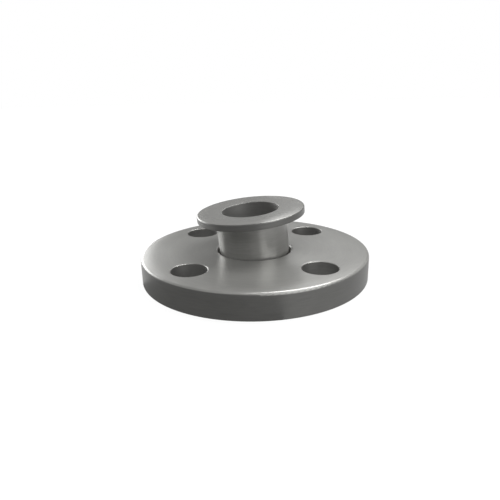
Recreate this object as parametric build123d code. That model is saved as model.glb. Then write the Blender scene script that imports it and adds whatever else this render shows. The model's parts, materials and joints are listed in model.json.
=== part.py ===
"""Lap joint flange with a short stub end standing askew in its bore.

The flange is a flat round plate with a ring of bolt holes. The stub end is a separate short
piece of pipe whose end is flared into a flat lap. It is slipped down through the bore of the
flange, stands on its lower edge and leans, with its side against the wall of the bore.

The origin is the centre of the flange's back face, and +Z points towards its front face.
"""

import os
from math import cos, radians, sin

from build123d import *

# Sizes are in millimetres and angles in degrees.

# Flange plate.
flange_od = 108.0
flange_thickness = 12.0
flange_front_round = 1.2
flange_back_round = 0.5

# Bolt holes, evenly spaced, with the X and Y axes midway between them.
bolt_count = 4
bolt_hole_d = 15.9
bolt_hole_to_rim = 6.35
bolt_hole_round = 0.5

# Stub end.
pipe_od = 33.4
pipe_wall = 3.38
stub_length = 30.0
lap_overhang = 8.7
lap_thickness = 3.1
lap_edge_round = 0.6
lap_back_round = 0.3
lap_fillet = 1.0
lap_bore_round = 0.4
pipe_end_chamfer = 0.5

# Bore of the flange, measured on the radius beyond the pipe.
bore_clearance = 0.85
bore_back_chamfer = 0.5

# How the stub end stands: its lap leans towards the lean azimuth, its lower edge is just above
# the plane of the flange's back face, and its side is just clear of the wall of the bore.
stub_tilt = 4.85
stub_lean_azimuth = 193.0
support_clearance = 0.3
wall_clearance = 0.1

flange_radius = flange_od / 2
bolt_hole_radius = bolt_hole_d / 2
bolt_circle_radius = flange_radius - bolt_hole_to_rim - bolt_hole_radius

pipe_radius = pipe_od / 2
pipe_bore_radius = pipe_radius - pipe_wall
lap_radius = pipe_radius + lap_overhang

# The mouth of the flange's bore is rounded to match the fillet under the lap.
bore_radius = pipe_radius + bore_clearance
bore_mouth_round = lap_fillet

UPWARD = (Align.CENTER, Align.CENTER, Align.MIN)
DOWNWARD = (Align.CENTER, Align.CENTER, Align.MAX)


def circles_at(shape, height, radius, centre_distance=0.0):
    """Circular edges of one radius, at one height and with centres this far from the Z axis."""
    tolerance = 1e-4
    found = []
    for edge in shape.edges().filter_by(GeomType.CIRCLE):
        centre = edge.arc_center
        off_height = abs(centre.Z - height)
        off_distance = abs((centre.X**2 + centre.Y**2) ** 0.5 - centre_distance)
        off_radius = abs(edge.radius - radius)
        if max(off_height, off_distance, off_radius) < tolerance:
            found.append(edge)
    return found


def make_backing_flange():
    """Flat round plate with a central bore and a ring of bolt holes, its edges eased."""
    plate = Cylinder(flange_radius, flange_thickness, align=UPWARD)
    plate -= Cylinder(bore_radius, flange_thickness, align=UPWARD)
    bolt_hole = Cylinder(bolt_hole_radius, flange_thickness, align=UPWARD)
    first_hole_angle = 180 / bolt_count
    for place in PolarLocations(bolt_circle_radius, bolt_count, first_hole_angle):
        plate -= place * bolt_hole

    plate = fillet(circles_at(plate, flange_thickness, flange_radius), flange_front_round)
    plate = fillet(circles_at(plate, 0, flange_radius), flange_back_round)
    plate = fillet(circles_at(plate, flange_thickness, bore_radius), bore_mouth_round)
    plate = chamfer(circles_at(plate, 0, bore_radius), bore_back_chamfer)
    for face_height in (0, flange_thickness):
        hole_edges = circles_at(plate, face_height, bolt_hole_radius, bolt_circle_radius)
        plate = fillet(hole_edges, bolt_hole_round)
    return plate


def make_upright_stub_end():
    """Pipe with a flared lap, its plain end centred on the origin and its lap above."""
    pipe = Cylinder(pipe_radius, stub_length, align=UPWARD)
    lap = Pos(0, 0, stub_length) * Cylinder(lap_radius, lap_thickness, align=DOWNWARD)
    stub = pipe + lap - Cylinder(pipe_bore_radius, stub_length, align=UPWARD)

    lap_back = stub_length - lap_thickness
    stub = fillet(circles_at(stub, stub_length, lap_radius), lap_edge_round)
    stub = fillet(circles_at(stub, lap_back, lap_radius), lap_back_round)
    stub = fillet(circles_at(stub, lap_back, pipe_radius), lap_fillet)
    stub = fillet(circles_at(stub, stub_length, pipe_bore_radius), lap_bore_round)
    return chamfer(circles_at(stub, 0, pipe_radius), pipe_end_chamfer)


def stub_end_place():
    """Place of the stub end's plain end, with its tilt.

    The pipe is tilted about the centre of its plain end. One side of that end drops to the
    support clearance, and the side opposite reaches out to the wall of the bore.
    """
    tilt = radians(stub_tilt)
    azimuth = radians(stub_lean_azimuth)
    height = support_clearance + pipe_radius * sin(tilt)
    offset = pipe_radius * cos(tilt) + wall_clearance - bore_radius
    centre = (offset * cos(azimuth), offset * sin(azimuth), height)
    return Pos(*centre) * Rot(Z=stub_lean_azimuth) * Rot(Y=stub_tilt)


def make_stub_end():
    """The stub end as it stands in the flange."""
    return stub_end_place() * make_upright_stub_end()


def main():
    os.makedirs("parts", exist_ok=True)
    export_step(make_backing_flange(), "parts/backing_flange.step")
    export_step(make_stub_end(), "parts/stub_end.step")


main()
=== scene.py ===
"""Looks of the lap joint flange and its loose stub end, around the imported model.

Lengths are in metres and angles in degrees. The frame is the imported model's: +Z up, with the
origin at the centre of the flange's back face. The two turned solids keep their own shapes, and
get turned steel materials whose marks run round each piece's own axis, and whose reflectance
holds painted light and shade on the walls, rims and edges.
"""

import json
from math import cos, pi, radians, sin, tan

import bpy
from mathutils import Matrix, Vector


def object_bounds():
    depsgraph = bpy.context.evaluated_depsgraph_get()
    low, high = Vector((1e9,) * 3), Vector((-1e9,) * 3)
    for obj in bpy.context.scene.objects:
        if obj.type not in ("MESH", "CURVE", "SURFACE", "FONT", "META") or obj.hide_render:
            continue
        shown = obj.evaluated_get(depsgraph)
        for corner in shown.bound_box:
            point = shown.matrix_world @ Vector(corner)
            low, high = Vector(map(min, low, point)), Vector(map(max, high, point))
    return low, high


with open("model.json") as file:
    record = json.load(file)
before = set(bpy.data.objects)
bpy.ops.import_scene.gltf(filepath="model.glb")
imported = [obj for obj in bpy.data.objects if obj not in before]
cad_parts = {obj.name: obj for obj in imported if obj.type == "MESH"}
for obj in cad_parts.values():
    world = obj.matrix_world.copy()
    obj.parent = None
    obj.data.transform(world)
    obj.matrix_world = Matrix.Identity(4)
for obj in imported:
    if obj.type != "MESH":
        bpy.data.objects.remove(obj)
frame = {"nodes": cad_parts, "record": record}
cad_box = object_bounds()
scene = bpy.context.scene

ORIGIN = Vector((0, 0, 0))
UP = Vector((0, 0, 1))
MM = 0.001
WHITE = (1, 1, 1, 1)
BLACK = (0, 0, 0, 1)

# The flange is the widest piece, and is centred on the origin.
FLANGE_RADIUS = cad_box[1][0]
LAP_RADIUS = 0.0254

# The photograph is square, this many pixels wide.
PHOTO_PIXELS = 500

# The camera that took the photograph: its focal length in the photograph's pixels, its sensor in
# millimetres, and the nearest and farthest distance that it sees.
FOCAL_PIXELS = 474.6
SENSOR_WIDTH = 36.0
CAMERA_CLIP = (0.005, 20.0)

# The camera's aim, and where it stands round that aim. At azimuth 0 it looks along +Y.
CAMERA_AIM = Vector((-0.00219, -0.00030, 0.01120))
CAMERA_AZIMUTH = 0.93
CAMERA_ELEVATION = 18.62
CAMERA_ROLL = -1.27
CAMERA_DISTANCE = 0.2298

# Light levels, where 1 is the white of the background.
WHITE_LEVEL = 1.0
AMBIENT_LEVEL = 0.35

# The floor glows at this level near the part, and its glow grows to white between these two
# distances from the origin. What the lamps add to its dark grey takes the part's shadow.
FLOOR_GLOW = 0.88
FLOOR_FADE = (0.12, 0.5)
FLOOR_COLOUR = 0.12
FLOOR_SIZE = 6.0

# Lamps: name, compass direction from +Y towards +X, elevation, distance, width, height and level.
# The soft boxes light everything, the strips show in reflections alone, and the fill doesn't show
# in them.
SOFT_BOXES = (
    ("back_left_box", -31.8, 13, 0.9, 0.36, 0.32, 5.0),
    ("left_box", -55, 13, 0.9, 0.36, 0.32, 12.0),
    ("overhead_box", 64, 65, 0.9, 0.50, 0.50, 7.0),
    ("back_top_box", 15.5, 33, 0.9, 0.44, 0.20, 2.3),
)
STRIPS = (
    ("front_right_strip", 132, 22, 0.9, 0.70, 0.36, 7.5),
    ("front_edge_strip", 70, 65, 0.85, 0.44, 0.54, 9.0),
)
FILLS = (("front_fill", 208, 46, 0.9, 0.70, 0.50, 5.5),)

# Cards that only reflections show, listed as the lamps are.
CARDS = (
    ("ceiling_card", 0, 90, 1.4, 3.2, 3.2, 0.25),
    ("front_left_card", 232, 20, 1.2, 2.2, 1.4, 0.12),
    ("left_card", 282, 25, 1.2, 0.9, 1.2, 0.08),
    ("back_left_card", -7.4, 17, 1.3, 0.40, 0.9, 0.28),
    ("back_right_card", 22, 17, 1.3, 0.95, 0.9, 0.40),
)

# A dark card that lies on the floor at the front left, and only reflections show. Its right edge
# passes the rim this many degrees right of the front, and runs in this compass direction, this
# far to the front and back of there.
FLOOR_CARD_CORNER = 12
FLOOR_CARD_COMPASS = 156
FLOOR_CARD_WIDTH = 0.3
FLOOR_CARD_FRONT = 0.2
FLOOR_CARD_BACK = 0.062
FLOOR_CARD_HEIGHT = 0.0002
FLOOR_CARD_LEVEL = 0.2

# The turned steel: how metallic it is, its red, green and blue beside its reflectance, and how
# far its highlights spread, a quarter turn from the lathe's marks.
METALLIC = 0.5
STEEL_TINT = (1.0, 0.995, 0.95)
ANISOTROPIC = 0.25
QUARTER_TURN = 0.25

# On a wall, such as a hole's, the direction across the lathe's marks comes from the normal, which
# outweighs the direction from the axis by this much.
NORMAL_WEIGHT = 20.0

# The faces roll off towards their outer edge: where that starts and ends, and the last slope.
FLANGE_ROLL_OFF = (0.047, FLANGE_RADIUS, 6.0)
LAP_ROLL_OFF = (0.018, LAP_RADIUS, 6.5)

# On the rounded edges, how much of the normal points along the axis where the finish starts to be
# a face's, and where it wholly is: for the reflectance, whose walls' part is painted light and
# shade, then for the roughness.
FLANGE_PAINTED_LIGHT_EDGE = (0.3, 0.7)
STUB_PAINTED_SHADE_EDGE = (0.75, 0.97)
ROUGH_EDGE = (0.75, 0.97)

# Surfaces of each piece, as turned_steel reads them. Their reflectances are painted light and
# shade: on the flange the rim and the walls of the bolt holes are darker than the faces as painted
# shade, and the wall of the bore is lighter as painted light in the dark gap round the stub. Each
# roughness keeps clear of 0.27, where the denoiser starts to see a surface in another way, and
# leaves marks on one that crosses it.
FLANGE_PAINTED_LIGHT_AND_SHADE_BANDS = (
    (0, 0.24, 0.32),  # flat faces
    (0, 0.55, 0.35),  # wall of the bore
    (0.025, 0.12, 0.50),  # walls of the bolt holes
    (0.050, 0.095, 0.45),  # rim
)
# On the stub, the wall of its bore and the edge of the lap are darker than the faces as painted
# shade.
STUB_PAINTED_SHADE_BANDS = (
    (0, 0.25, 0.245),  # flat faces
    (0, 0.12, 0.60),  # wall of the bore
    (0.015, 0.235, 0.33),  # outside of the pipe
    (0.021, 0.095, 0.40),  # edge of the lap
)
BAND_BLEND = 1.0 * MM

# Soft patches in the finish: features per metre, detail and roughness of the noise.
PATCHES = (60.0, 3.0, 0.55)

# Rings that follow the lathe's profile: where the noise is read beside it, so that no two are
# alike, then its features per millimetre and its detail.
RINGS = (0.0, 0.8, 2.0)
WIDE_RINGS = (2.0, 0.3, 2.0)
TOOL_MARKS = (5.0, 1.8, 1.0)

# Short streaks along the marks: features per millimetre across them and detail, and how much
# slower they change along them.
STREAKS = (1.6, 1.0)
STREAK_PACE = 0.1

# How far the noises move the reflectance either way, as a share of it, and the roughness.
RING_LEVEL = 0.06
PATCH_LEVEL = 0.10
STREAK_LEVEL = 0.10
RING_ROUGHNESS = 0.015
PATCH_ROUGHNESS = 0.03
STREAK_ROUGHNESS = 0.015

# How high the tool marks stand, and how much of the normal points along the axis where they grow
# to that on a face, and where they fade from that off a wall. The edges between have none.
TOOL_MARK_HEIGHT = 0.0005 * MM
MARKED_FACE = (0.95, 0.995)
MARKED_WALL = (0.02, 0.1)


def direction_of(compass, elevation):
    """Unit vector at a compass direction, counted from +Y towards +X, and an elevation."""
    level = cos(radians(elevation))
    return Vector(
        (sin(radians(compass)) * level, cos(radians(compass)) * level, sin(radians(elevation)))
    )


def facing_origin(compass, elevation, distance):
    """Place of something that stands off in that direction, its back axis away from the part."""
    away = direction_of(compass, elevation)
    return Matrix.Translation(away * distance) @ away.to_track_quat("Z", "Y").to_matrix().to_4x4()


def make_camera():
    """Places the camera by its azimuth and elevation round its aim, then rolls it."""
    back = direction_of(180 - CAMERA_AZIMUTH, CAMERA_ELEVATION)
    level = back.to_track_quat("Z", "Y").to_matrix().to_4x4()
    roll = Matrix.Rotation(radians(CAMERA_ROLL), 4, "Z")
    data = bpy.data.cameras.new("camera")
    data.sensor_width = SENSOR_WIDTH
    data.lens = FOCAL_PIXELS / PHOTO_PIXELS * SENSOR_WIDTH
    data.clip_start, data.clip_end = CAMERA_CLIP
    camera = bpy.data.objects.new("camera", data)
    place = Matrix.Translation(CAMERA_AIM + back * CAMERA_DISTANCE)
    camera.matrix_world = place @ level @ roll
    scene.collection.objects.link(camera)
    scene.camera = camera


class NodeMaker:
    """Short calls that add nodes to one tree and return their output sockets."""

    def __init__(self, tree):
        self.tree = tree

    def add(self, kind, **settings):
        """Adds a node and returns the node itself."""
        node = self.tree.nodes.new("ShaderNode" + kind)
        for name, value in settings.items():
            setattr(node, name, value)
        return node

    def put(self, value, socket):
        """Links an output socket to an input, or sets the input to a plain value."""
        if isinstance(value, bpy.types.NodeSocket):
            self.tree.links.new(value, socket)
        else:
            socket.default_value = value

    def put_all(self, values, sockets):
        for value, socket in zip(values, sockets):
            self.put(value, socket)

    def math(self, operation, *values, clamp=False):
        node = self.add("Math", operation=operation, use_clamp=clamp)
        self.put_all(values, node.inputs)
        return node.outputs[0]

    def vector(self, operation, *values):
        node = self.add("VectorMath", operation=operation)
        self.put_all(values, node.inputs)
        return node.outputs[0]

    def scale(self, vector, factor):
        node = self.add("VectorMath", operation="SCALE")
        self.put(vector, node.inputs[0])
        self.put(factor, node.inputs["Scale"])
        return node.outputs[0]

    def length(self, vector):
        node = self.add("VectorMath", operation="LENGTH")
        self.put(vector, node.inputs[0])
        return node.outputs["Value"]

    def combine(self, x, y, z):
        node = self.add("CombineXYZ")
        self.put_all((x, y, z), node.inputs)
        return node.outputs[0]

    def separate(self, vector):
        node = self.add("SeparateXYZ")
        self.put(vector, node.inputs[0])
        return node.outputs[0], node.outputs[1], node.outputs[2]

    def blend(self, value, low, high, at_low=0.0, at_high=1.0):
        """Smooth step: at_low up to low, at_high from high on."""
        node = self.add("MapRange", interpolation_type="SMOOTHSTEP")
        self.put_all((value, low, high, at_low, at_high), node.inputs)
        return node.outputs[0]

    def mix(self, factor, first, second):
        node = self.add("Mix", data_type="FLOAT")
        self.put_all((factor, first, second), (node.inputs[0], *node.inputs[2:4]))
        return node.outputs[0]

    def noise(self, vector, scale, detail, roughness=0.5):
        node = self.add("TexNoise", noise_dimensions="3D")
        self.put(vector, node.inputs["Vector"])
        self.put(scale, node.inputs["Scale"])
        self.put(detail, node.inputs["Detail"])
        self.put(roughness, node.inputs["Roughness"])
        return node.outputs[0]

    def ring_noise(self, travel, beside, scale, detail):
        """Noise that changes along the lathe's profile and nowhere else."""
        return self.noise(self.combine(travel, beside, 0.0), scale, detail)

    def spread(self, *noises):
        """Sum of noises, each spread about 0 by its own amount either way."""
        total = 0.0
        for noise, amount in noises:
            total = self.math("ADD", total, self.mix(noise, -amount, amount))
        return total

    def turn_back(self, vector, location, rotation):
        """Coordinates in a piece's own frame, which stands at this place and rotation."""
        node = self.add("Mapping", vector_type="TEXTURE")
        self.put(vector, node.inputs["Vector"])
        self.put(location, node.inputs["Location"])
        self.put(rotation, node.inputs["Rotation"])
        return node.outputs[0]

    def rotate(self, vector, rotation):
        node = self.add("VectorRotate", rotation_type="EULER_XYZ")
        self.put(vector, node.inputs["Vector"])
        self.put(rotation, node.inputs["Rotation"])
        return node.outputs[0]

    def to_world(self, vector):
        """A direction of the object's, as a direction of the world's."""
        node = self.add(
            "VectorTransform", vector_type="VECTOR", convert_from="OBJECT", convert_to="WORLD"
        )
        self.put(vector, node.inputs[0])
        return node.outputs[0]


def marks_direction(make, outward, sideways, rotation):
    """World direction of the lathe's marks, which run round the axis, and round a hole's wall.

    outward is the direction from the axis, and sideways what the normal has across the axis.
    """
    across = make.vector(
        "ADD", make.vector("NORMALIZE", outward), make.scale(sideways, NORMAL_WEIGHT)
    )
    along = make.vector("NORMALIZE", make.vector("CROSS_PRODUCT", tuple(UP), across))
    return make.to_world(make.rotate(along, rotation))


def band_painted_light_and_roughness(make, radius, level_flatness, rough_flatness, bands):
    """Reflectance, which is painted light and shade, and roughness of the walls by their radius,
    and of the flat faces.
    """
    (_, face_level, face_rough), (_, level, rough), *outer_bands = bands
    for start, band_level, band_rough in outer_bands:
        beyond = make.blend(radius, start - BAND_BLEND, start + BAND_BLEND)
        level = make.mix(beyond, level, band_level)
        rough = make.mix(beyond, rough, band_rough)
    return make.mix(level_flatness, level, face_level), make.mix(rough_flatness, rough, face_rough)


def marks_height(make, tool_marks, along_axis):
    """Height of the tool marks, which fade on the rounded edges."""
    on_face = make.blend(along_axis, *MARKED_FACE)
    on_wall = make.blend(along_axis, *MARKED_WALL, 1.0, 0.0)
    shown = make.math("MULTIPLY", tool_marks, make.math("ADD", on_face, on_wall))
    return make.math("MULTIPLY", shown, TOOL_MARK_HEIGHT)


def roll_off_drop(make, radius, start, end, slope):
    """How far the faces fall away: a parabola from the start, with this slope at the end."""
    past = make.math("MAXIMUM", make.math("SUBTRACT", radius, start), 0.0)
    curving = tan(radians(slope)) / (end - start) / 2
    return make.math("MULTIPLY", make.math("MULTIPLY", past, past), curving)


def turned_steel(name, foot, axis, edge, roll_off, bands):
    """Turned stainless steel on a piece whose axis leaves its foot in this direction.

    edge says where on a rounded edge the wall's reflectance, which holds painted light and shade,
    and rings give way to the face's. roll_off holds the radii where the faces start and stop
    rolling off, and their slope in degrees at the end of that. bands holds the surfaces from the
    axis
    outwards: the radius where each begins, its reflectance, which is painted light and shade, and
    its roughness. The first of them is for the flat faces, at any radius.
    """
    material = bpy.data.materials.new(name)
    material.use_nodes = True
    make = NodeMaker(material.node_tree)
    shader = material.node_tree.nodes["Principled BSDF"]
    rotation = UP.rotation_difference(axis).to_euler()

    # Where the point is on the piece, and which way the surface faces there.
    coordinates = make.add("TexCoord")
    point = make.turn_back(coordinates.outputs["Object"], foot, rotation)
    normal = make.turn_back(coordinates.outputs["Normal"], ORIGIN, rotation)
    x, y, height = make.separate(point)
    outward = make.combine(x, y, 0.0)
    radius = make.length(outward)
    normal_x, normal_y, normal_up = make.separate(normal)
    sideways = make.combine(normal_x, normal_y, 0.0)
    along_axis = make.math("ABSOLUTE", normal_up)
    level_flatness = make.blend(along_axis, *edge)
    rough_flatness = make.blend(along_axis, *ROUGH_EDGE)

    # In millimetres, along the lathe's profile, which is the radius on a face and the height on a
    # wall, and round the axis.
    travel = make.math("DIVIDE", make.mix(level_flatness, height, radius), MM)
    around = make.math("DIVIDE", make.math("MULTIPLY", make.math("ARCTAN2", y, x), radius), MM)

    patches = make.noise(point, *PATCHES)
    rings = make.ring_noise(travel, *RINGS)
    wide_rings = make.ring_noise(travel, *WIDE_RINGS)
    tool_marks = make.ring_noise(travel, *TOOL_MARKS)
    slowly_round = make.math("MULTIPLY", around, STREAK_PACE)
    streaks = make.noise(make.combine(travel, slowly_round, 0.0), *STREAKS)

    # The reflectance by surface is painted light and shade; the noises after it are the steel's
    # own.
    level, rough = band_painted_light_and_roughness(make, radius, level_flatness, rough_flatness, bands)
    change = make.spread(
        (rings, RING_LEVEL),
        (patches, PATCH_LEVEL),
        (wide_rings, RING_LEVEL),
        (streaks, STREAK_LEVEL),
    )
    level = make.math("MULTIPLY", level, make.math("ADD", 1.0, change))
    colour = make.add("CombineColor")
    for tint, socket in zip(STEEL_TINT, colour.inputs):
        make.put(make.math("MULTIPLY", level, tint), socket)
    make.put(colour.outputs[0], shader.inputs["Base Color"])

    change = make.spread(
        (rings, RING_ROUGHNESS), (patches, PATCH_ROUGHNESS), (streaks, STREAK_ROUGHNESS)
    )
    make.put(make.math("ADD", rough, change), shader.inputs["Roughness"])

    direction = marks_direction(make, outward, sideways, rotation)
    make.put(direction, shader.inputs["Tangent"])
    shader.inputs["Metallic"].default_value = METALLIC
    shader.inputs["Anisotropic"].default_value = ANISOTROPIC
    shader.inputs["Anisotropic Rotation"].default_value = QUARTER_TURN

    # The bump's height is in metres.
    marks = marks_height(make, tool_marks, along_axis)
    drop = roll_off_drop(make, radius, *roll_off)
    bump = make.add("Bump")
    bump.inputs["Strength"].default_value = 1.0
    bump.inputs["Distance"].default_value = 1.0
    make.put(make.math("SUBTRACT", marks, drop), bump.inputs["Height"])
    make.put(bump.outputs[0], shader.inputs["Normal"])
    return material


def mount(name):
    """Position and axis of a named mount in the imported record."""
    found = next(item for item in frame["record"]["mounts"] if item["name"] == name)
    return Vector(found["pos_m"]), Vector(found["axis"])


def dress_pieces():
    """Gives each CAD node its turned steel."""
    foot, downward = mount("weld_end")
    steels = {
        "backing_flange": turned_steel(
            "flange_steel", ORIGIN, UP, FLANGE_PAINTED_LIGHT_EDGE, FLANGE_ROLL_OFF, FLANGE_PAINTED_LIGHT_AND_SHADE_BANDS
        ),
        "stub_end": turned_steel(
            "stub_steel", foot, -downward, STUB_PAINTED_SHADE_EDGE, LAP_ROLL_OFF, STUB_PAINTED_SHADE_BANDS
        ),
    }
    for name, steel in steels.items():
        slots = frame["nodes"][name].data.materials
        slots.clear()
        slots.append(steel)


def glowing(name, level):
    """A plain grey surface that shows at this level, whatever light falls on it."""
    material = bpy.data.materials.new(name)
    material.use_nodes = True
    shader = material.node_tree.nodes["Principled BSDF"]
    shader.inputs["Base Color"].default_value = BLACK
    shader.inputs["Specular IOR Level"].default_value = 0.0
    shader.inputs["Emission Color"].default_value = WHITE
    shader.inputs["Emission Strength"].default_value = level
    return material


def flat_panel(name, width, height, place, material):
    """A rectangle that is part of the stage, centred on its place."""
    bpy.ops.mesh.primitive_plane_add(size=1)
    panel = bpy.context.object
    panel.name = name
    panel.matrix_world = place @ Matrix.Diagonal((width, height, 1, 1))
    panel.data.materials.append(material)
    return panel


def make_floor():
    """A white floor that keeps a faint shadow: most of its white is its own, far off all of it."""
    material = glowing("floor_white", FLOOR_GLOW)
    shader = material.node_tree.nodes["Principled BSDF"]
    make = NodeMaker(material.node_tree)
    distance = make.length(make.add("NewGeometry").outputs["Position"])
    glow = make.blend(distance, *FLOOR_FADE, FLOOR_GLOW, WHITE_LEVEL)
    make.put(glow, shader.inputs["Emission Strength"])
    shader.inputs["Base Color"].default_value = (FLOOR_COLOUR, FLOOR_COLOUR, FLOOR_COLOUR, 1)
    shader.inputs["Roughness"].default_value = 1.0
    flat_panel("floor", FLOOR_SIZE, FLOOR_SIZE, Matrix.Identity(4), material)


def make_card(name, width, height, place, level):
    """A card that only reflections show."""
    card = flat_panel(name, width, height, place, glowing(name, level))
    card.visible_camera = False
    card.visible_diffuse = False
    card.visible_transmission = False
    card.visible_shadow = False


def make_floor_card():
    """The card on the floor: its right edge runs forward, and it reaches to the left of that."""
    corner = direction_of(180 - FLOOR_CARD_CORNER, 0) * FLANGE_RADIUS
    forward = direction_of(FLOOR_CARD_COMPASS, 0)
    leftward = forward.cross(UP)
    length = FLOOR_CARD_FRONT + FLOOR_CARD_BACK
    centre = corner + leftward * FLOOR_CARD_WIDTH / 2 + UP * FLOOR_CARD_HEIGHT
    centre += forward * (FLOOR_CARD_FRONT - FLOOR_CARD_BACK) / 2
    turn = Matrix((leftward, forward, UP)).transposed().to_4x4()
    place = Matrix.Translation(centre) @ turn
    make_card("floor_card", FLOOR_CARD_WIDTH, length, place, FLOOR_CARD_LEVEL)


def make_lamp(name, compass, elevation, distance, width, height, level):
    """A rectangular lamp whose face is this many times as bright as white."""
    data = bpy.data.lights.new(name, "AREA")
    data.shape = "RECTANGLE"
    data.size = width
    data.size_y = height
    data.energy = level * pi * width * height
    lamp = bpy.data.objects.new(name, data)
    lamp.matrix_world = facing_origin(compass, elevation, distance)
    lamp.visible_camera = False
    scene.collection.objects.link(lamp)
    return lamp


def make_world():
    """White to the camera and in reflections, and a plain even light on what is matt."""
    world = bpy.data.worlds.new("studio")
    scene.world = world
    world.use_nodes = True
    make = NodeMaker(world.node_tree)
    path = make.add("LightPath")
    shown = make.math(
        "ADD", path.outputs["Is Camera Ray"], path.outputs["Is Glossy Ray"], clamp=True
    )
    shown = make.math("ADD", shown, path.outputs["Is Transmission Ray"], clamp=True)
    background = world.node_tree.nodes["Background"]
    background.inputs["Color"].default_value = WHITE
    make.put(make.mix(shown, AMBIENT_LEVEL, WHITE_LEVEL), background.inputs["Strength"])


make_camera()
dress_pieces()
make_floor()
for name, compass, elevation, distance, width, height, level in CARDS:
    make_card(name, width, height, facing_origin(compass, elevation, distance), level)
make_floor_card()
for soft_box in SOFT_BOXES:
    make_lamp(*soft_box)
for strip in STRIPS:
    make_lamp(*strip).visible_diffuse = False
for fill in FILLS:
    make_lamp(*fill).visible_glossy = False
make_world()
scene.view_settings.view_transform = "Standard"
